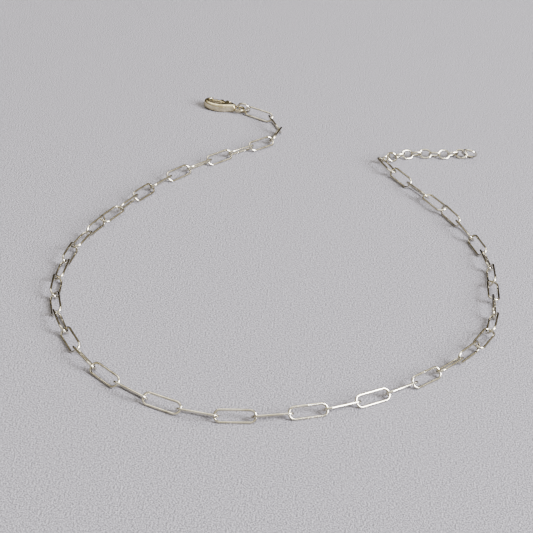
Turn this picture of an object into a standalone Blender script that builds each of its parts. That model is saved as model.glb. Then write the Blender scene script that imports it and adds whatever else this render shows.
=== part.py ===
# An open paperclip chain necklace in polished steel, lying on a flat surface.
# 47 oblong links interlock along an open loop. One end carries a lobster clasp on a jump ring,
# the other a short extender of small rings that ends in a larger ring.
# Metres, +Z up. The surface is z = 0, +Y is the clasp side of the loop and the origin is the
# middle of the whole object's outline, on the surface.

import bpy
import bmesh
import math
from mathutils import Matrix, Vector

MM = 0.001

# Main chain: outside length and width of a link, its wire, and the play between two links
LINK_COUNT = 47
LINK_LENGTH = 10.1 * MM
LINK_WIDTH = 3.45 * MM
LINK_WIRE = 0.62 * MM
LINK_PLAY = 0.26 * MM

# Play of a ring where it hooks on another piece
RING_PLAY = 0.3 * MM

# Jump ring between the first link and the clasp
CLASP_RING_DIAMETER = 4.4 * MM
CLASP_RING_WIRE = 0.65 * MM
CLASP_RING_ROLL = 65.0

# Extender: small oval rings, soldered where they touch, and the larger ring at the end
SMALL_RING_COUNT = 10
SMALL_RING_LENGTH = 4.0 * MM
SMALL_RING_WIDTH = 3.2 * MM
SMALL_RING_WIRE = 0.6 * MM
SOLDER_BITE = 0.1 * MM
FIRST_RING_ROLL = -60.0
END_RING_DIAMETER = 4.8 * MM
END_RING_WIRE = 0.7 * MM
END_RING_ROLL = -50.0

# Lobster clasp, measured in its own plane: x runs from the eye to the hook's tip
CLASP_HEADING = 166.0
CLASP_THICKNESS = 2.5 * MM
CLASP_EDGE = 0.75 * MM
EYE_HOLE = 2.4 * MM
EYE_WALL = 0.6 * MM
EYE_THICKNESS = 0.8 * MM
CLAW_REACH = 7.0 * MM
CLAW_LENGTH = 9.0 * MM
CLAW_WIDTH = 6.2 * MM
NECK_WIDTH = 2.4 * MM
NECK_BITE = 0.15 * MM
HOOK_WALL = 1.4 * MM
BACK_WALL = 1.45 * MM
GATE_WALL = 1.2 * MM
HEEL_WALL = 2.3 * MM
MOUTH_SETBACK = 2.1 * MM
MOUTH_ANGLE = 32.0

# Clasp lever, its pin and their running clearance
LEVER_LENGTH = 6.0 * MM
LEVER_THICKNESS = 1.0 * MM
LEVER_HUB = 1.7 * MM
LEVER_SETBACK = 3.7 * MM
LEVER_RISE = 1.0 * MM
LEVER_EDGE = 0.15 * MM
THUMB_TAB = 0.65 * MM
PIN_DIAMETER = 0.7 * MM
PIN_RECESS = 0.1 * MM
RUNNING_GAP = 0.12 * MM

# Places round the claw and the hub, in degrees: where the thumb tab starts and ends, where the
# arm's outer and inner edges meet the hub, and the arc of the hub that the arm leaves free
TAB_START, TAB_END = 88.0, 103.0
OUTER_ROOT, INNER_ROOT = 128.0, 165.0
HUB_START, HUB_END = 80.0, 320.0

# Facets: chords in each half turn of a link or ring, sides of round cuts, degrees of a chord of
# the lever's edges, and chords between two points of a route
BEND_STEPS = 6
ROUND_SIDES = 40
EDGE_STEP = 5.0
ROUTE_STEPS = 60

# Meshing: what welds, what counts as flat and what counts as an edge to round, in degrees
WELD = 0.0001 * MM
FLAT_ANGLE = 1.0
SHARP_ANGLE = 60.0

# The chain's route over the surface, in link spans: (to the right, to the back)
CHAIN_ROUTE = [
    (-1.8, 9.8), (-1.1, 9.5), (-0.6, 8.6), (-0.8, 7.4), (-2.2, 5.9), (-4.0, 3.6),
    (-5.3, 0.9), (-6.3, -1.8), (-6.5, -4.7), (-5.9, -6.8), (-4.8, -8.6),
    (-3.1, -9.9), (-1.2, -10.3), (1.1, -9.6), (2.6, -8.7), (3.9, -7.6),
    (5.2, -6.1), (6.2, -4.2), (6.4, -1.2), (6.2, 0.7), (5.2, 3.1), (3.3, 6.1),
    (3.0, 7.2),
]

# The extender's route from the chain's last joint, in small-ring spans
EXTENDER_ROUTE = [
    (0.0, 0.0), (1.7, 1.7), (4.1, 2.8), (6.3, 3.1), (8.3, 3.9), (10.4, 3.5), (12.5, 3.0),
]

# How far the chain has twisted about its own length at some of its links, in degrees
CHAIN_TWIST = [
    (1, 95), (2, 80), (3, 100), (6, 90), (10, 92), (14, 160), (17, 180), (22, 180), (25, 190),
    (28, 190), (31, 182), (33, 188), (35, 240), (38, 325), (40, 362), (42, 360), (44, 300), (45, 268),
    (47, 245),
]
REST_ROLL = 45.0


for old in list(bpy.data.objects):
    bpy.data.objects.remove(old, do_unlink=True)

scene = bpy.context.scene
parts = bpy.data.collections.new("necklace")
cutters = bpy.data.collections.new("cutters")
cutters.hide_render = True
scene.collection.children.link(parts)
scene.collection.children.link(cutters)
root = bpy.data.objects.new("necklace_root", None)
parts.objects.link(root)


def metal(name, colour, roughness):
    made = bpy.data.materials.new(name)
    made.use_nodes = True
    shader = made.node_tree.nodes["Principled BSDF"]
    shader.inputs["Base Color"].default_value = (*colour, 1.0)
    shader.inputs["Metallic"].default_value = 1.0
    shader.inputs["Roughness"].default_value = roughness
    return made


chain_steel = metal("polished_chain_steel", (0.62, 0.58, 0.5), 0.16)
clasp_steel = metal("cast_clasp_steel", (0.58, 0.51, 0.38), 0.24)


def add_part(name, data, material, parent=root):
    made = bpy.data.objects.new(name, data)
    parts.objects.link(made)
    made.parent = parent
    if not data.materials:
        data.materials.append(material)
    return made


def add_cutter(name, data, parent):
    made = bpy.data.objects.new(name, data)
    cutters.objects.link(made)
    made.parent = parent
    made.hide_render = True
    made.display_type = "WIRE"
    return made


def as_mesh(data, name):
    # A curve's solid as one welded mesh, with its flat faces whole
    holder = bpy.data.objects.new(name, data)
    scene.collection.objects.link(holder)
    graph = bpy.context.evaluated_depsgraph_get()
    mesh = bpy.data.meshes.new_from_object(holder.evaluated_get(graph))
    bpy.data.objects.remove(holder, do_unlink=True)
    shape = bmesh.new()
    shape.from_mesh(mesh)
    bmesh.ops.remove_doubles(shape, verts=shape.verts, dist=WELD)
    bmesh.ops.dissolve_limit(
        shape, angle_limit=math.radians(FLAT_ANGLE), verts=shape.verts, edges=shape.edges
    )
    bmesh.ops.recalc_face_normals(shape, faces=shape.faces)
    shape.to_mesh(mesh)
    shape.free()
    mesh.name = name
    return mesh


# Wire loops

def wire_loop(name, length, width, wire):
    # A closed wire with straight sides along X and round ends; equal sizes give a ring
    bend = (width - wire) / 2
    straight = (length - width) / 2
    points = []
    for end in (1, -1):
        for step in range(BEND_STEPS + 1):
            turn = math.radians(180 * step / BEND_STEPS - 90)
            points.append((end * (straight + bend * math.cos(turn)), end * bend * math.sin(turn)))
    if straight < wire / 10:
        points = [(bend * math.cos(a), bend * math.sin(a)) for a in around(2 * BEND_STEPS)]
    data = bpy.data.curves.new(name, "CURVE")
    data.dimensions = "3D"
    data.twist_mode = "Z_UP"
    data.fill_mode = "FULL"
    data.bevel_depth = wire / 2
    data.bevel_resolution = 1
    spline = data.splines.new("POLY")
    spline.points.add(len(points) - 1)
    for point, (x, y) in zip(spline.points, points):
        point.co = (x, y, 0, 1)
    spline.use_cyclic_u = True
    return data


def around(count):
    return [2 * math.pi * step / count for step in range(count)]


def rest_height(width, wire, roll):
    # The height of a leaning loop's middle when its lowest wire touches z = 0
    return (width - wire) / 2 * abs(math.sin(math.radians(roll))) + wire / 2


def linked_height(width, wire, roll):
    # The same for a loop held up by neighbours that lean the other way
    return max(rest_height(width, wire, roll), rest_height(width, wire, roll + 90))


def joint_heights(width, wire, rolls):
    # Each joint is as high as the higher of the two loops that meet there
    heights = [linked_height(width, wire, roll) for roll in rolls]
    return [max(pair) for pair in zip(heights[:1] + heights, heights + heights[-1:])]


def lying(start, end, roll):
    # Places a loop between two joints, turned about the line through them
    along = (end - start).normalized()
    side = Vector((-along.y, along.x, 0)).normalized()
    turn = math.radians(roll)
    across = side * math.cos(turn) + along.cross(side) * math.sin(turn)
    place = Matrix((along, across, along.cross(across))).transposed().to_4x4()
    place.translation = (start + end) / 2
    return place


def hooked_ring(hooked, way, diameter, wire, roll, other_wire):
    # Where a leaning ring lies that is hooked on the end of another loop and runs off along way.
    # At the hooked wire's height it is narrower than at its middle, and stands to one side of it.
    # Gives the ring's middle, and the point above the line of way that it leans over
    turn = math.radians(roll)
    radius = (diameter - wire) / 2
    height = rest_height(diameter, wire, roll)
    slope = (hooked.z - height) / math.sin(turn)
    lean = math.asin(slope / radius)
    shift = radius * math.cos(lean) - ((wire + other_wire) / 2 + RING_PLAY) / math.cos(lean)
    over = Vector((hooked.x, hooked.y, height)) + way * shift
    side = Vector((-way.y, way.x, 0))
    return over - side * slope * math.cos(turn), over


# Routes

def smooth_route(points, spacing):
    # A Catmull-Rom curve through the points, run on straight past its last one
    knots = [Vector((x, y)) * spacing for x, y in points]
    knots = [2 * knots[0] - knots[1]] + knots + [2 * knots[-1] - knots[-2]]
    fine = []
    for p0, p1, p2, p3 in zip(knots, knots[1:], knots[2:], knots[3:]):
        for step in range(ROUTE_STEPS):
            t = step / ROUTE_STEPS
            fine.append(
                p1 + (p2 - p0) * (t / 2)
                + (2 * p0 - 5 * p1 + 4 * p2 - p3) * (t * t / 2)
                + (3 * p1 - p0 - 3 * p2 + p3) * (t * t * t / 2)
            )
    fine.append(knots[-2])
    fine.append(knots[-2] + (knots[-2] - knots[-3]).normalized() * spacing * len(points))
    return fine


def walk(fine, strides):
    # Points on the route whose straight distances are the given strides
    here = fine[0]
    stops = [here]
    index = 1
    for stride in strides:
        while (fine[index] - here).length < stride:
            index += 1
        before, after = fine[index - 1], fine[index]
        # The share of this chord where the distance is the stride, by the quadratic formula
        run, back = after - before, before - here
        a, b, c = run.dot(run), run.dot(back), back.dot(back) - stride * stride
        here = before + run * ((math.sqrt(b * b - a * c) - b) / a)
        stops.append(here)
    return stops


def table_value(rows, at):
    # Straight lines between a table's rows
    for (n0, v0), (n1, v1) in zip(rows, rows[1:]):
        if n0 <= at <= n1:
            return v0 + (v1 - v0) * (at - n0) / (n1 - n0)
    return rows[-1][1]


# Main chain

link_span = LINK_LENGTH - 2 * LINK_WIRE - LINK_PLAY
flat_joints = walk(smooth_route(CHAIN_ROUTE, link_span), [link_span] * LINK_COUNT)
link_loop = wire_loop("link_wire", LINK_LENGTH, LINK_WIDTH, LINK_WIRE)
link_rolls = [
    REST_ROLL * (-1) ** number + table_value(CHAIN_TWIST, number) for number in range(1, LINK_COUNT + 1)
]
chain_joints = [
    Vector((*flat, height))
    for flat, height in zip(flat_joints, joint_heights(LINK_WIDTH, LINK_WIRE, link_rolls))
]
for number in range(1, LINK_COUNT + 1):
    link = add_part(f"link_{number:02d}", link_loop, chain_steel)
    link.matrix_world = lying(chain_joints[number - 1], chain_joints[number], link_rolls[number - 1])


def wire_end(joint, before, length, wire):
    # The middle of the wire at a loop's end, which reaches past the joint with the next one
    return (joint + before) / 2 + (joint - before).normalized() * (length - wire) / 2


# Jump ring: it holds the first link at one side and the clasp's eye at the other

heading = math.radians(CLASP_HEADING)
clasp_way = Vector((math.cos(heading), math.sin(heading), 0))
ring_middle, eye_line = hooked_ring(
    wire_end(chain_joints[0], chain_joints[1], LINK_LENGTH, LINK_WIRE), clasp_way,
    CLASP_RING_DIAMETER, CLASP_RING_WIRE, CLASP_RING_ROLL, LINK_WIRE,
)
clasp_ring = add_part(
    "clasp_ring",
    wire_loop("clasp_ring_wire", CLASP_RING_DIAMETER, CLASP_RING_DIAMETER, CLASP_RING_WIRE),
    chain_steel,
)
half_ring = clasp_way * CLASP_RING_DIAMETER / 2
clasp_ring.matrix_world = lying(ring_middle - half_ring, ring_middle + half_ring, CLASP_RING_ROLL)

# Lobster clasp. Its empty stands at the eye, with +X to the tip and +Y to the gate

eye_radius = EYE_HOLE / 2 + EYE_WALL
eye_middle = eye_line + clasp_way * (EYE_HOLE + EYE_WALL) / 2
clasp_frame = bpy.data.objects.new("clasp_frame", None)
parts.objects.link(clasp_frame)
clasp_frame.parent = root
clasp_frame.matrix_world = Matrix((
    (clasp_way.x, clasp_way.y, 0, eye_middle.x),
    (clasp_way.y, -clasp_way.x, 0, eye_middle.y),
    (0, 0, -1, CLASP_THICKNESS / 2),
    (0, 0, 0, 1),
))

half_long, half_wide = CLAW_LENGTH / 2, CLAW_WIDTH / 2
neck_middle = (EYE_HOLE + NECK_WIDTH) / 2 - NECK_BITE
opening_low = -half_wide + BACK_WALL
opening_high = half_wide - GATE_WALL
opening_right = CLAW_REACH + half_long - HOOK_WALL
opening_left = CLAW_REACH - half_long + HEEL_WALL
opening_middle = Vector(((opening_left + opening_right) / 2, (opening_low + opening_high) / 2))
opening_half = Vector(((opening_right - opening_left) / 2, (opening_high - opening_low) / 2))
pivot = Vector((CLAW_REACH - LEVER_SETBACK, LEVER_RISE))
mouth_left = CLAW_REACH - MOUTH_SETBACK


def arc(first, last):
    # Angles from one place to another, both included, in steps of about EDGE_STEP degrees
    count = math.ceil(abs(last - first) / EDGE_STEP)
    return [math.radians(first + (last - first) * step / count) for step in range(count + 1)]


def oval(middle, half, angles):
    return [(middle[0] + half[0] * math.cos(a), middle[1] + half[1] * math.sin(a)) for a in angles]


def hull(points):
    # The outline of a band stretched round the points
    points = sorted(set(points))
    sides = []
    for run in (points, points[::-1]):
        side = []
        for x, y in run:
            while len(side) > 1:
                (x1, y1), (x2, y2) = side[-2:]
                if (x2 - x1) * (y - y1) - (y2 - y1) * (x - x1) > 0:
                    break
                side.pop()
            side.append((x, y))
        sides += side[:-1]
    return sides


def plate(name, outline, thickness):
    # A flat outline given a thickness, evenly to both sides of z = 0
    data = bpy.data.curves.new(name, "CURVE")
    data.dimensions = "2D"
    data.fill_mode = "BOTH"
    data.extrude = thickness / 2
    spline = data.splines.new("POLY")
    spline.points.add(len(outline) - 1)
    for point, (x, y) in zip(spline.points, outline):
        point.co = (x, y, 0, 1)
    spline.use_cyclic_u = True
    return as_mesh(data, name)


def drum(name, radius, depth, squash=1.0):
    # A cylinder along Z, narrowed across Y where it is an oval
    mesh = bpy.data.meshes.new(name)
    shape = bmesh.new()
    bmesh.ops.create_cone(
        shape, cap_ends=True, segments=ROUND_SIDES, radius1=radius, radius2=radius, depth=depth
    )
    bmesh.ops.scale(shape, vec=(1, squash, 1), verts=shape.verts)
    shape.to_mesh(mesh)
    shape.free()
    return mesh


def round_edges(obj, width, segments):
    bevel = obj.modifiers.new("rounded_edges", "BEVEL")
    bevel.limit_method = "ANGLE"
    bevel.angle_limit = math.radians(SHARP_ANGLE)
    bevel.width = width
    bevel.segments = segments


def combine(obj, other, operation):
    step = obj.modifiers.new(other.name, "BOOLEAN")
    step.operation = operation
    step.object = other


cut_depth = 2 * CLASP_THICKNESS

# Body: a teardrop plate, the thinner eye at its tail, and everything cut out of them
teardrop = hull(
    oval((CLAW_REACH, 0), (half_long, half_wide), around(ROUND_SIDES))
    + oval((neck_middle, 0), (NECK_WIDTH / 2, NECK_WIDTH / 2), around(ROUND_SIDES))
)
clasp_body = add_part(
    "clasp_body", plate("clasp_plate", teardrop, CLASP_THICKNESS), clasp_steel, clasp_frame
)
round_edges(clasp_body, CLASP_EDGE, segments=3)
eye_lug = add_cutter("eye_lug", drum("eye_lug", eye_radius, EYE_THICKNESS), clasp_frame)
combine(clasp_body, eye_lug, "UNION")

eye_hole = add_cutter("eye_hole", drum("eye_hole", EYE_HOLE / 2, cut_depth), clasp_frame)
opening = add_cutter(
    "hook_opening",
    drum("hook_opening", opening_half.x, cut_depth, opening_half.y / opening_half.x),
    clasp_frame,
)
opening.location = (*opening_middle, 0)

mouth_reach = LEVER_LENGTH + RUNNING_GAP
mouth_arc = oval(pivot, (mouth_reach, mouth_reach), arc(0, MOUTH_ANGLE))
mouth_outline = [(mouth_left, pivot.y)] + mouth_arc + [(mouth_left, 2 * half_wide)]
mouth = add_cutter("mouth", plate("mouth", mouth_outline, cut_depth), clasp_frame)

slot_gap = 2 * RUNNING_GAP
slot_left = pivot.x - LEVER_HUB / 2 - slot_gap
slot_right = mouth_left + LEVER_HUB / 2
slot_floor = pivot.y - LEVER_HUB / 2 - slot_gap
slot_box = bpy.data.meshes.new("lever_slot")
slot_shape = bmesh.new()
bmesh.ops.create_cube(slot_shape, size=1)
bmesh.ops.scale(
    slot_shape,
    vec=(slot_right - slot_left, 2 * half_wide, LEVER_THICKNESS + slot_gap),
    verts=slot_shape.verts,
)
slot_shape.to_mesh(slot_box)
slot_shape.free()
slot = add_cutter("lever_slot", slot_box, clasp_frame)
slot.location = ((slot_left + slot_right) / 2, slot_floor + half_wide, 0)

pin_hole = add_cutter(
    "pin_hole", drum("pin_hole", PIN_DIAMETER / 2 + RUNNING_GAP, cut_depth), clasp_frame
)
pin_hole.location = (*pivot, 0)
for cutter in (eye_hole, opening, mouth, slot, pin_hole):
    combine(clasp_body, cutter, "DIFFERENCE")

# Lever: a hub on the pin, an arm that follows the claw's outline and a thumb tab on it.
# Its own origin is the pin's axis
arm_outer = (half_long - RUNNING_GAP, half_wide - RUNNING_GAP)
arm_inner = (opening_half.x + RUNNING_GAP, opening_half.y + RUNNING_GAP)


def arm_edge(middle, half, first, last):
    # A stretch of an oval, as far as the lever reaches
    edge = oval(middle, half, arc(first, last))
    return [(x, y) for x, y in edge if (Vector((x, y)) - pivot).length < LEVER_LENGTH]


tip_side = arm_edge((CLAW_REACH, 0), arm_outer, 0, TAB_START)
hub_side = arm_edge((CLAW_REACH, 0), arm_outer, TAB_END, OUTER_ROOT)
inner_edge = arm_edge(opening_middle, arm_inner, INNER_ROOT, 0)
tab_points = [
    (tip_side[-1][0] - THUMB_TAB / 4, tip_side[-1][1] + THUMB_TAB),
    (hub_side[0][0] + THUMB_TAB / 4, hub_side[0][1] + THUMB_TAB),
]
tip_start, tip_end = [
    math.atan2(y - pivot.y, x - pivot.x) for x, y in (inner_edge[-1], tip_side[0])
]
tip_steps = [tip_start + (tip_end - tip_start) * step / 4 for step in (1, 2, 3)]
lever_outline = (
    tip_side + tab_points + hub_side
    + oval(pivot, (LEVER_HUB / 2, LEVER_HUB / 2), arc(HUB_START, HUB_END))
    + inner_edge
    + oval(pivot, (LEVER_LENGTH, LEVER_LENGTH), tip_steps)
)
lever_outline = [(x - pivot.x, y - pivot.y) for x, y in lever_outline]
clasp_lever = add_part(
    "clasp_lever", plate("clasp_lever", lever_outline, LEVER_THICKNESS), clasp_steel, clasp_frame
)
clasp_lever.location = (*pivot, 0)
round_edges(clasp_lever, LEVER_EDGE, segments=2)
combine(clasp_lever, pin_hole, "DIFFERENCE")

clasp_pin = add_part(
    "clasp_pin",
    drum("clasp_pin", PIN_DIAMETER / 2, CLASP_THICKNESS - 2 * PIN_RECESS),
    chain_steel,
    clasp_frame,
)
clasp_pin.location = (*pivot, 0)

# Extender: its small rings are joined into one solid where they touch

ring_span = SMALL_RING_LENGTH - 2 * SMALL_RING_WIRE + SOLDER_BITE
flat_stops = walk(smooth_route(EXTENDER_ROUTE, ring_span), [ring_span] * (SMALL_RING_COUNT + 1))
small_rolls = [FIRST_RING_ROLL] + [
    REST_ROLL * (-1) ** (number + 1) for number in range(1, SMALL_RING_COUNT + 1)
]
stop_heights = joint_heights(SMALL_RING_WIDTH, SMALL_RING_WIRE, small_rolls)

# The first small ring hooks inside the last link's end
last_end = wire_end(chain_joints[-1], chain_joints[-2], LINK_LENGTH, LINK_WIRE)
last_way = (chain_joints[-1] - chain_joints[-2]).normalized()
first_hook = last_end - last_way * ((LINK_WIRE + SMALL_RING_WIRE) / 2 + RING_PLAY)
pull_way = (flat_stops[1] - flat_stops[0]).to_3d().normalized()
extender_start = first_hook + pull_way * (SMALL_RING_LENGTH - SMALL_RING_WIRE - ring_span) / 2
extender_joints = [extender_start] + [
    Vector((extender_start.x + stop.x, extender_start.y + stop.y, height))
    for stop, height in zip(flat_stops[1:], stop_heights[1:])
]

small_ring = as_mesh(
    wire_loop("small_ring_wire", SMALL_RING_LENGTH, SMALL_RING_WIDTH, SMALL_RING_WIRE), "small_ring"
)
extender = add_part("extender_chain", small_ring, chain_steel)
extender.matrix_world = lying(extender_joints[0], extender_joints[1], small_rolls[0])
for number in range(1, SMALL_RING_COUNT):
    ring = add_cutter(f"small_ring_{number}", small_ring, root)
    ring.matrix_world = lying(
        extender_joints[number], extender_joints[number + 1], small_rolls[number]
    )
    combine(extender, ring, "UNION")

end_way = (extender_joints[-1] - extender_joints[-2]).normalized()
end_middle, _ = hooked_ring(
    wire_end(extender_joints[-2], extender_joints[-3], SMALL_RING_LENGTH, SMALL_RING_WIRE), end_way,
    END_RING_DIAMETER, END_RING_WIRE, END_RING_ROLL, SMALL_RING_WIRE,
)
end_ring = add_part(
    "end_ring", wire_loop("end_ring_wire", END_RING_DIAMETER, END_RING_DIAMETER, END_RING_WIRE), chain_steel
)
half_end = end_way * END_RING_DIAMETER / 2
end_ring.matrix_world = lying(end_middle - half_end, end_middle + half_end, END_RING_ROLL)

# The whole necklace is set with the middle of its outline over the origin

bpy.context.view_layer.update()
depsgraph = bpy.context.evaluated_depsgraph_get()
corners = []
for piece in parts.objects:
    if piece.type != "EMPTY":
        solid = piece.evaluated_get(depsgraph)
        corners += [piece.matrix_world @ vertex.co for vertex in solid.to_mesh().vertices]
        solid.to_mesh_clear()
for axis in (0, 1):
    root.location[axis] = -(min(c[axis] for c in corners) + max(c[axis] for c in corners)) / 2
bpy.context.view_layer.update()
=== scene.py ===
import math

import bmesh
import bpy
import numpy as np
from mathutils import Matrix, Vector


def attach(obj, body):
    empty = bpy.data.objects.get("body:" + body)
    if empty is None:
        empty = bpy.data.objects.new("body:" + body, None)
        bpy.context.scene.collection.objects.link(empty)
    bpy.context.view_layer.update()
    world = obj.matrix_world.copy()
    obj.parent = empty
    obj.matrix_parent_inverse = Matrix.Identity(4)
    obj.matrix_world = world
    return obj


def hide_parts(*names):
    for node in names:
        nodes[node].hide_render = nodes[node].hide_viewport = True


# The looks of an open paperclip chain necklace: round polished wire in place of the CAD model's
# six-sided wire, a tumbled cast clasp, their steel, and a pale cloth-covered table under soft light.

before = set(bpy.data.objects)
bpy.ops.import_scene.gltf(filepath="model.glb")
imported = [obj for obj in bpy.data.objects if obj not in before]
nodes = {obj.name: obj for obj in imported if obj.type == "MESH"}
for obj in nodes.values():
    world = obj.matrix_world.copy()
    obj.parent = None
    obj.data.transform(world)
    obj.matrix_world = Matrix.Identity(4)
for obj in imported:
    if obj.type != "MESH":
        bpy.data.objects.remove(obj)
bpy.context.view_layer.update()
mm = 0.001
print("frame loaded:", len(nodes), "nodes")


# Node and colour helpers

def linearColour(hexCode):
    # Each sRGB channel c turned to linear: c / 12.92 if it is small, else ((c + 0.055) / 1.055) ^ 2.4
    channels = [int(hexCode[i:i + 2], 16) / 255 for i in (1, 3, 5)]
    return (*[c / 12.92 if c <= 0.04045 else ((c + 0.055) / 1.055) ** 2.4 for c in channels], 1.0)


def addNode(tree, kind, settings=None, links=None):
    # One node of this kind. A setting is a socket's value or the node's own property
    node = tree.nodes.new("ShaderNode" + kind)
    for name, value in (settings or {}).items():
        if isinstance(name, int) or name in node.inputs:
            node.inputs[name].default_value = value
        else:
            setattr(node, name, value)
    for name, source in (links or {}).items():
        tree.links.new(source, node.inputs[name])
    return node


def newMaterial(name):
    made = bpy.data.materials.new(name)
    made.use_nodes = True
    return made, made.node_tree, made.node_tree.nodes["Principled BSDF"]


def colourRamp(tree, factor, stops):
    # A ramp through (place, hex colour) stops
    ramp = addNode(tree, "ValToRGB", {}, {"Fac": factor})
    while len(ramp.color_ramp.elements) < len(stops):
        ramp.color_ramp.elements.new(0.5)
    for element, (place, hexCode) in zip(ramp.color_ramp.elements, stops):
        element.position = place
        element.color = linearColour(hexCode)
    return ramp


def addNoise(tree, vector, size, detail, roughness=0.5):
    # Soft noise whose patches are about this many millimetres wide
    return addNode(
        tree, "TexNoise", {"Scale": 1 / (size * mm), "Detail": detail, "Roughness": roughness},
        {"Vector": vector},
    )


def addBump(tree, shader, height, strength, depth):
    # Raises the surface by up to this many millimetres where the height is one
    bump = addNode(
        tree, "Bump", {"Strength": strength, "Distance": depth * mm}, {"Height": height}
    )
    tree.links.new(bump.outputs["Normal"], shader.inputs["Normal"])


def patchySteel(name, p):
    # Bare metal whose tone and roughness drift together in patches, brighter where it is smoother
    made, tree, shader = newMaterial(name)
    place = addNode(tree, "TexCoord")
    haze = addNoise(tree, place.outputs["Object"], p["tonePatch"], p["toneDetail"])
    low, high = p["toneSpread"]
    tone = colourRamp(tree, haze.outputs["Fac"], [(low, p["dull"]), (high, p["bright"])])
    smooth, rough = p["roughness"]
    # The noise mostly stays between 0.3 and 0.7
    drift = addNode(
        tree, "MapRange", {"From Min": 0.3, "From Max": 0.7, "To Min": rough, "To Max": smooth},
        {"Value": haze.outputs["Fac"]},
    )
    shader.inputs["Metallic"].default_value = 1.0
    tree.links.new(tone.outputs["Color"], shader.inputs["Base Color"])
    tree.links.new(drift.outputs["Result"], shader.inputs["Roughness"])
    return made, tree, shader, place


# Drawn stainless steel wire, tumbled bright. The eye sees a clean mirror with a faint warm tone,
# long hairline die marks that stretch its highlights, and a slight haze that varies from link to link

drawnWire = {
    "bright": "#DAD6C8", "dull": "#B1AB99",
    "roughness": (0.07, 0.15),
    "tonePatch": 3.0,      # mm, how far the haze stays the same
    "toneDetail": 3.0, "toneSpread": (0.3, 0.62),
    "dieMark": 0.06,       # mm across the wire, drawn coarser than the real 0.01 so that it shows
    "dieRun": 4.0,         # mm along the wire
    "markDepth": 0.0012,   # mm
    "markStrength": 0.6,
}


def makeDrawnWire(p):
    made, tree, shader, place = patchySteel("drawn_stainless_wire", p)
    # Along the wire is U and around it is V, both in metres
    stretched = addNode(
        tree, "Mapping", {"Scale": (1 / (p["dieRun"] * mm), 1 / (p["dieMark"] * mm), 1.0)},
        {"Vector": place.outputs["UV"]},
    )
    marks = addNode(
        tree, "TexNoise", {"Scale": 1.0, "Detail": 2.0}, {"Vector": stretched.outputs["Vector"]}
    )
    addBump(tree, shader, marks.outputs["Fac"], p["markStrength"], p["markDepth"])
    return made


# Investment-cast stainless steel, tumbled. It is softer and warmer than the wire: rounded
# highlights, fine casting grain in the surface and a darker skin in patches

castSteel = {
    "bright": "#E2D8B8", "dull": "#BAAE8A",
    "roughness": (0.16, 0.30),
    "tonePatch": 2.2,      # mm
    "toneDetail": 4.0, "toneSpread": (0.34, 0.6),
    "grain": 0.12,         # mm between casting grains
    "grainDepth": 0.004,   # mm
    "grainStrength": 0.5,
}


def makeCastSteel(p):
    made, tree, shader, place = patchySteel("tumbled_cast_steel", p)
    grain = addNoise(tree, place.outputs["Object"], p["grain"], 2.0)
    addBump(tree, shader, grain.outputs["Fac"], p["grainStrength"], p["grainDepth"])
    return made


wireSteel = makeDrawnWire(drawnWire)
claspSteel = makeCastSteel(castSteel)
print("materials made")


# Frames of the CAD pieces

def pointsOf(node):
    # The node's own corners, each once
    mesh = nodes[node].data
    corners = np.empty(len(mesh.vertices) * 3, np.float32)
    mesh.vertices.foreach_get("co", corners)
    return np.unique(np.round(corners.reshape(-1, 3).astype(float), 7), axis=0)


def loopFrame(node):
    # A wire loop's middle and its three axes: along its length, across it, and out of its plane.
    # They are the directions in which its corners spread the most, less and least
    points = pointsOf(node)
    middle = points.mean(axis=0)
    _, _, axes = np.linalg.svd(points - middle, full_matrices=False)
    axes[2] = np.cross(axes[0], axes[1])
    return middle, axes


# Round wire

linkWire = {
    "length": 10.1, "width": 3.45, "wire": 0.62,   # mm, as in the CAD model
    "bendSteps": 20, "sides": 20,
    "weldSwell": 0.05, "weldWidth": 0.16,          # the butt weld: how proud, and how wide in mm
}
smallRingWire = {
    "length": 4.0, "width": 3.2, "wire": 0.6,
    "bendSteps": 20, "sides": 20,
    "weldSwell": 0.0, "weldWidth": 0.16,
}
claspRingWire = {
    "length": 4.4, "width": 4.4, "wire": 0.65,
    "bendSteps": 28, "sides": 22,
    "weldSwell": 0.0, "weldWidth": 0.16,
}
endRingWire = {
    "length": 4.8, "width": 4.8, "wire": 0.7,
    "bendSteps": 28, "sides": 22,
    "weldSwell": 0.0, "weldWidth": 0.16,
}

# Where points stand along a weld, in its widths from the middle
weldStations = np.array([-2, -1.2, -0.6, -0.3, 0, 0.3, 0.6, 1.2, 2])


def loopPath(p):
    # Points, headings, distances and thickness along a flat loop. It runs through a half turn,
    # straight over the weld and through the other half turn, so its heading rises by pi twice
    bend = (p["width"] - p["wire"]) / 2
    straight = p["length"] - p["width"]
    turns = np.linspace(0, math.pi, p["bendSteps"] + 1)
    stations = weldStations if straight > np.ptp(weldStations) * p["weldWidth"] else weldStations[:0]
    rightX = straight / 2 + bend * np.sin(turns)
    rightY = -bend * np.cos(turns)
    x = np.concatenate([rightX, -stations * p["weldWidth"], -rightX])
    y = np.concatenate([rightY, np.full(len(stations), bend), -rightY])
    heading = np.concatenate([turns, np.full(len(stations), math.pi), turns + math.pi])
    proud = 1 + p["weldSwell"] * np.exp(-stations ** 2)
    swell = np.concatenate([np.ones(len(turns)), proud, np.ones(len(turns))])
    if straight <= 0:
        # A round ring's bends meet, so each end is kept once
        keep = np.ones(len(x), bool)
        keep[[p["bendSteps"] + 1, -1]] = False
        x, y, heading, swell = x[keep], y[keep], heading[keep], swell[keep]
    steps = np.hypot(np.diff(x, append=x[0]), np.diff(y, append=y[0]))
    return x, y, heading, np.concatenate([[0], np.cumsum(steps)]), swell


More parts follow.
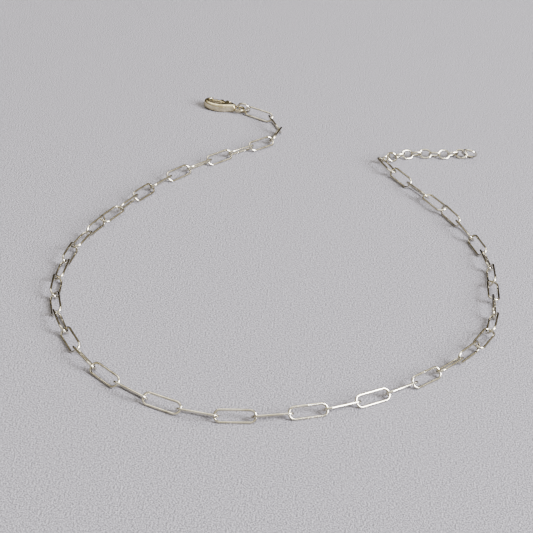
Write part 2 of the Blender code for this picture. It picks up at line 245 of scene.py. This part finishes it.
def wireRings(p, middle, axes):
    # Tube round the loop: point = path + r * (cos(v) * outward + sin(v) * plane normal)
    x, y, heading, along, swell = loopPath(p)
    around = np.linspace(0, 2 * math.pi, p["sides"], endpoint=False)
    radius = (p["wire"] / 2 * swell)[:, None]
    outX = np.sin(heading)[:, None]
    outY = -np.cos(heading)[:, None]
    flat = np.stack([
        x[:, None] + radius * np.cos(around) * outX,
        y[:, None] + radius * np.cos(around) * outY,
        radius * np.sin(around) * np.ones_like(outX),
    ], axis=-1)
    return flat * mm @ axes + middle, along * mm, around * p["wire"] / 2 * mm


def tubeMesh(name, tubes):
    # Closed tubes as one mesh. Quads join ring i to i + 1 and side j to j + 1, and both wrap round.
    # The UV map holds the distance along the wire and around it, in metres
    points, faces, corners = [], [], []
    start = 0
    for rings, along, around in tubes:
        count, sides = rings.shape[:2]
        i, j = [g.ravel() for g in np.meshgrid(np.arange(count), np.arange(sides), indexing="ij")]
        nextI, nextJ = (i + 1) % count, (j + 1) % sides
        quads = np.stack([
            i * sides + j, nextI * sides + j, nextI * sides + nextJ, i * sides + nextJ,
        ], 1)
        girth = np.append(around, around[-1] + around[1])
        corners.append(np.stack([
            np.stack([along[i], girth[j]], 1), np.stack([along[i + 1], girth[j]], 1),
            np.stack([along[i + 1], girth[j + 1]], 1), np.stack([along[i], girth[j + 1]], 1),
        ], 1))
        points.append(rings.reshape(-1, 3))
        faces.append(quads + start)
        start += count * sides
    return gridMesh(name, np.concatenate(points), np.concatenate(faces), np.concatenate(corners))


def gridMesh(name, points, quads, corners=None):
    # A smooth mesh of quads whose faces all look outwards
    mesh = bpy.data.meshes.new(name)
    first = points[quads]
    volume = np.einsum("ij,ij->i", first[:, 0], np.cross(first[:, 1], first[:, 2])).sum()
    volume += np.einsum("ij,ij->i", first[:, 0], np.cross(first[:, 2], first[:, 3])).sum()
    if volume < 0:
        quads = quads[:, ::-1]
        corners = corners[:, ::-1] if corners is not None else None
    mesh.from_pydata(points, [], quads)
    if corners is not None:
        uv = mesh.uv_layers.new(name="alongAndAround")
        uv.data.foreach_set("uv", np.ascontiguousarray(corners, np.float32).ravel())
    mesh.polygons.foreach_set("use_smooth", np.ones(len(quads), bool))
    mesh.update()
    return mesh


def addPiece(name, mesh, material, body, slotName, *replaced):
    piece = bpy.data.objects.new(name, mesh)
    bpy.context.scene.collection.objects.link(piece)
    mesh.materials.clear()
    mesh.materials.append(material)
    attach(piece, body)
    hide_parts(*replaced)


def addWirePiece(name, tubes, node):
    addPiece(name, tubeMesh(name, tubes), wireSteel, "necklace", "chain_steel", node)


linkNodes = sorted(n for n in nodes if n.startswith("link_"))
for node in linkNodes:
    addWirePiece("round_" + node, [wireRings(linkWire, *loopFrame(node))], node)
for node, sizes in (("clasp_ring", claspRingWire), ("end_ring", endRingWire)):
    addWirePiece("round_" + node, [wireRings(sizes, *loopFrame(node))], node)
print("links and rings made:", len(linkNodes) + 2)


# Extender: ten small oval rings in a row from the last link's end. The CAD model solders them into
# one solid. Here each is round wire in the same place, and all of them are one piece

extenderRun = {
    # The row's route from its first ring, in ring spans: (to the right, to the back)
    "route": [(0.0, 0.0), (1.7, 1.7), (4.1, 2.8), (6.3, 3.1), (8.3, 3.9), (10.4, 3.5), (12.5, 3.0)],
    "count": 10,
    "bite": 0.1,           # mm that neighbours sink into each other at their solder
    "play": 0.3,           # mm between the first ring and the last link's wire
    "lean": 45, "firstLean": -60,   # degrees, one ring to the left and the next to the right
}


def smoothRoute(points, spacing, steps=60):
    # Catmull-Rom: p1 + (p2 - p0) t / 2 + (2 p0 - 5 p1 + 4 p2 - p3) t^2 / 2
    # + (3 p1 - p0 - 3 p2 + p3) t^3 / 2
    knots = np.array(points) * spacing
    knots = np.vstack([2 * knots[0] - knots[1], knots, 2 * knots[-1] - knots[-2]])
    t = (np.arange(steps) / steps)[:, None]
    parts = [
        p1 + (p2 - p0) * t / 2 + (2 * p0 - 5 * p1 + 4 * p2 - p3) * t ** 2 / 2
        + (3 * p1 - p0 - 3 * p2 + p3) * t ** 3 / 2
        for p0, p1, p2, p3 in zip(knots, knots[1:], knots[2:], knots[3:])
    ]
    return np.vstack(parts + [knots[-2:-1]])


def strides(route, stride, count):
    # Points on the route, each a straight stride from the one before it
    stops = [route[0]]
    index = 1
    for _ in range(count):
        here = stops[-1]
        while np.linalg.norm(route[index] - here) < stride:
            index += 1
        run, back = route[index] - route[index - 1], route[index - 1] - here
        a, b, c = run @ run, run @ back, back @ back - stride ** 2
        stops.append(route[index - 1] + run * ((math.sqrt(b * b - a * c) - b) / a))
    return np.array(stops)


def leaningFrame(start, end, lean):
    # A loop's middle and axes between two joints, turned about the line through them
    along = (end - start) / np.linalg.norm(end - start)
    side = np.array([-along[1], along[0], 0]) / math.hypot(along[0], along[1])
    turn = math.radians(lean)
    across = side * math.cos(turn) + np.cross(along, side) * math.sin(turn)
    return (start + end) / 2, np.array([along, across, np.cross(along, across)])


def extenderFrames(p, ring, lastLink, link):
    span = ring["length"] - 2 * ring["wire"] + p["bite"]
    stops = strides(smoothRoute(p["route"], span), span, p["count"])
    leans = [p["firstLean"]] + [p["lean"] * (-1) ** (n + 1) for n in range(1, p["count"])]
    # A leaning ring's middle stands this high, and neighbours meet at the higher one's height
    reach = (ring["width"] - ring["wire"]) / 2
    slopes = [max(abs(math.sin(math.radians(a))), abs(math.cos(math.radians(a)))) for a in leans]
    heights = [reach * slope + ring["wire"] / 2 for slope in slopes]
    heights = [max(pair) for pair in zip(heights[:1] + heights, heights + heights[-1:])]
    # The last link's own end, towards the back of the loop
    middle, axes = lastLink
    way = axes[0] if axes[0][1] > 0 else -axes[0]
    end = middle / mm + way * (link["length"] - link["wire"]) / 2
    hook = end - way * ((link["wire"] + ring["wire"]) / 2 + p["play"])
    pull = np.append(stops[1] - stops[0], 0)
    pull /= np.linalg.norm(pull)
    start = hook + pull * (ring["length"] - ring["wire"] - span) / 2
    joints = [start] + [
        np.array([start[0] + x, start[1] + y, h]) for (x, y), h in zip(stops[1:], heights[1:])
    ]
    rings = [leaningFrame(a, b, lean) for a, b, lean in zip(joints, joints[1:], leans)]
    return [(middle * mm, axes) for middle, axes in rings]


smallRings = [
    wireRings(smallRingWire, *place)
    for place in extenderFrames(extenderRun, smallRingWire, loopFrame(linkNodes[-1]), linkWire)
]
addWirePiece("round_extender_chain", smallRings, "extender_chain")
ringPoints = np.vstack([rings.reshape(-1, 3) for rings, _, _ in smallRings])
print("extender made, its box:", ringPoints.min(axis=0) / mm, ringPoints.max(axis=0) / mm)


# Clasp: the CAD model's claw and lever with the soft edges of a tumbled casting

castForm = {
    "grid": 0.07,        # mm, the cells that the form is rebuilt on
    "softening": 12,     # passes that round its edges off
    "share": 0.5,        # of the way that a point moves in a pass
    "merge": 0.0001,     # mm, corners nearer than this are one
}


def softenedCopy(name, node, p):
    # The CAD shape rebuilt on a fine grid, then each point moved part of the way to the mean of
    # its neighbours a few times, in millimetres because the grid's cells have a least size
    mesh = bpy.data.meshes.new_from_object(nodes[node])
    mesh.name = name
    mesh.transform(Matrix.Scale(1 / mm, 4))
    shape = bmesh.new()
    shape.from_mesh(mesh)
    bmesh.ops.remove_doubles(shape, verts=shape.verts, dist=p["merge"])
    shape.to_mesh(mesh)
    shape.free()
    holder = bpy.data.objects.new(name + "_holder", mesh)
    bpy.context.scene.collection.objects.link(holder)
    rebuilt = holder.modifiers.new("grid", "REMESH")
    rebuilt.mode = "VOXEL"
    rebuilt.voxel_size = p["grid"]
    soft = holder.modifiers.new("soft", "SMOOTH")
    soft.factor = p["share"]
    soft.iterations = p["softening"]
    graph = bpy.context.evaluated_depsgraph_get()
    made = bpy.data.meshes.new_from_object(holder.evaluated_get(graph))
    bpy.data.objects.remove(holder, do_unlink=True)
    made.name = name
    made.transform(Matrix.Scale(mm, 4))
    made.polygons.foreach_set("use_smooth", np.ones(len(made.polygons), bool))
    return made


castPieces = [("cast_claw", "clasp_body", "necklace"), ("cast_lever", "clasp_lever", "lever")]
for name, node, body in castPieces:
    addPiece(name, softenedCopy(name, node, castForm), claspSteel, body, "clasp_steel", node)


# Pin: drawn wire cut to length and set with a slightly domed end at both faces

pinForm = {
    "sides": 32,
    "dome": 0.12,          # mm that the ends' middles stand over their rims
    "rimSteps": 8,
}


def pinMesh(name, node, p):
    # Profile turned about Z: radius R cos(a) at height H - dome (1 - sin(a)), mirrored below
    points = pointsOf(node)
    middle = (points.min(axis=0) + points.max(axis=0)) / 2
    half = (points[:, 2].max() - points[:, 2].min()) / 2
    radius = (points[:, 0].max() - points[:, 0].min()) / 2
    rise = np.linspace(0, math.pi / 2, p["rimSteps"] + 1)[:-1]
    top = np.stack([radius * np.cos(rise), half - p["dome"] * mm * (1 - np.sin(rise))], 1)
    profile = np.vstack([top[::-1], top * (1, -1)])
    around = np.linspace(0, 2 * math.pi, p["sides"], endpoint=False)
    ring = np.stack([
        profile[:, :1] * np.cos(around), profile[:, :1] * np.sin(around), profile[:, 1:] + 0 * around,
    ], axis=-1)
    count, sides = ring.shape[:2]
    i, j = [g.ravel() for g in np.meshgrid(np.arange(count - 1), np.arange(sides), indexing="ij")]
    k = (j + 1) % sides
    quads = np.stack([
        i * sides + j, (i + 1) * sides + j, (i + 1) * sides + k, i * sides + k,
    ], 1).tolist()
    rim = list(range(sides))
    quads += [rim[::-1], [(count - 1) * sides + n for n in rim]]
    made = bpy.data.meshes.new(name)
    made.from_pydata(ring.reshape(-1, 3) + middle, [], quads)
    shape = bmesh.new()
    shape.from_mesh(made)
    bmesh.ops.recalc_face_normals(shape, faces=shape.faces)
    shape.to_mesh(made)
    shape.free()
    made.polygons.foreach_set("use_smooth", np.ones(len(made.polygons), bool))
    return made


pin = pinMesh("set_pin", "clasp_pin", pinForm)
addPiece("set_pin", pin, wireSteel, "necklace", "chain_steel", "clasp_pin")
print("clasp made")


# Table top: a pale, closely woven cloth that only shows as fine grain, with painted shade in the
# hollows between its threads

tableTop = {
    "colour": "#9B99A0", "shade": "#67666D",
    "thread": 0.42,        # mm between threads
    "threadDepth": 0.36,   # mm
    "roughness": 0.85, "sheen": 0.25,
    "size": 6.0,           # m
}


def makeTableCloth(p):
    made, tree, shader = newMaterial("woven_table_cloth")
    place = addNode(tree, "TexCoord")
    threads = addNoise(tree, place.outputs["Object"], p["thread"], 1.5, 0.6)
    # Thread grain and painted shade together: the same noise raises the threads and darkens the cloth
    # where they lie low, as painted shade in the hollows between them
    tone = colourRamp(tree, threads.outputs["Fac"], [(0.35, p["shade"]), (0.65, p["colour"])])
    shader.inputs["Roughness"].default_value = p["roughness"]
    shader.inputs["Specular IOR Level"].default_value = p["sheen"]
    tree.links.new(tone.outputs["Color"], shader.inputs["Base Color"])
    addBump(tree, shader, threads.outputs["Fac"], 1.0, p["threadDepth"])
    return made


half = tableTop["size"] / 2
floorMesh = bpy.data.meshes.new("table_top")
floorMesh.from_pydata(
    [(-half, -half, 0), (half, -half, 0), (half, half, 0), (-half, half, 0)], [], [(0, 1, 2, 3)]
)
floorMesh.materials.append(makeTableCloth(tableTop))
floor = bpy.data.objects.new("table_top", floorMesh)
bpy.context.scene.collection.objects.link(floor)


# Camera: where the photo was taken from, found from the chain's equal links

cameraPlace = {
    "ground": (-3.94, -412.92), "height": 215.5,   # mm
    "down": 28.357, "roll": 6.142,                 # degrees
    "focal": 1731.45, "frame": 533,                # pixels
    "sensor": 36,                                  # mm
}


def addCamera(p):
    data = bpy.data.cameras.new("photo_camera")
    data.sensor_width = p["sensor"]
    data.lens = p["sensor"] * p["focal"] / p["frame"]
    data.clip_start = 0.01
    camera = bpy.data.objects.new("photo_camera", data)
    bpy.context.scene.collection.objects.link(camera)
    down, roll = math.radians(p["down"]), math.radians(p["roll"])
    level = Vector((1, 0, 0))
    upright = Vector((0, math.sin(down), math.cos(down)))
    right = level * math.cos(roll) + upright * math.sin(roll)
    up = upright * math.cos(roll) - level * math.sin(roll)
    turned = Matrix((right, up, right.cross(up))).transposed().to_4x4()
    turned.translation = Vector((p["ground"][0], p["ground"][1], p["height"])) * mm
    camera.matrix_world = turned
    bpy.context.scene.camera = camera


addCamera(cameraPlace)


# Light: a window to the right, a warm room above and behind the camera

windowLight = {
    "azimuth": -20, "elevation": 30, "distance": 2.0,   # degrees, and metres from the origin
    "size": (1.0, 1.1), "power": 190, "colour": "#FBFBFF",
}
ceilingBounce = {
    "azimuth": 90, "elevation": 70, "distance": 2.4,
    "size": (2.6, 1.6), "power": 50, "colour": "#F6F2EA",
}
warmRoom = {
    "strength": 1.15,
    # Lighter upwards, behind the camera and to the right
    "towards": (0.12, -0.32, 1.0),
    "tones": [
        (0.0, "#060605"), (0.15, "#181611"), (0.27, "#8B816B"), (0.47, "#DAD0B3"),
        (0.85, "#F6F1E4"),
    ],
}


def addSoftbox(name, p):
    # A flat lamp that looks at the origin from this direction
    data = bpy.data.lights.new(name, "AREA")
    data.shape = "RECTANGLE"
    data.size, data.size_y = p["size"]
    data.energy = p["power"]
    data.color = linearColour(p["colour"])[:3]
    lamp = bpy.data.objects.new(name, data)
    bpy.context.scene.collection.objects.link(lamp)
    turn, rise = math.radians(p["azimuth"]), math.radians(p["elevation"])
    flat = math.cos(rise)
    towards = Vector((flat * math.cos(turn), flat * math.sin(turn), math.sin(rise)))
    lamp.location = towards * p["distance"]
    lamp.rotation_euler = towards.to_track_quat("Z", "Y").to_euler()


def addRoom(p):
    room = bpy.data.worlds.new("room")
    bpy.context.scene.world = room
    room.use_nodes = True
    tree = room.node_tree
    background = tree.nodes["Background"]
    place = addNode(tree, "TexCoord")
    slant = addNode(
        tree, "VectorMath", {"operation": "DOT_PRODUCT", 1: p["towards"]},
        {0: place.outputs["Generated"]},
    )
    walls = colourRamp(tree, slant.outputs["Value"], p["tones"])
    tree.links.new(walls.outputs["Color"], background.inputs["Color"])
    background.inputs["Strength"].default_value = p["strength"]


addSoftbox("window", windowLight)
addSoftbox("ceiling_bounce", ceilingBounce)
addRoom(warmRoom)
print("stage, camera and light made")
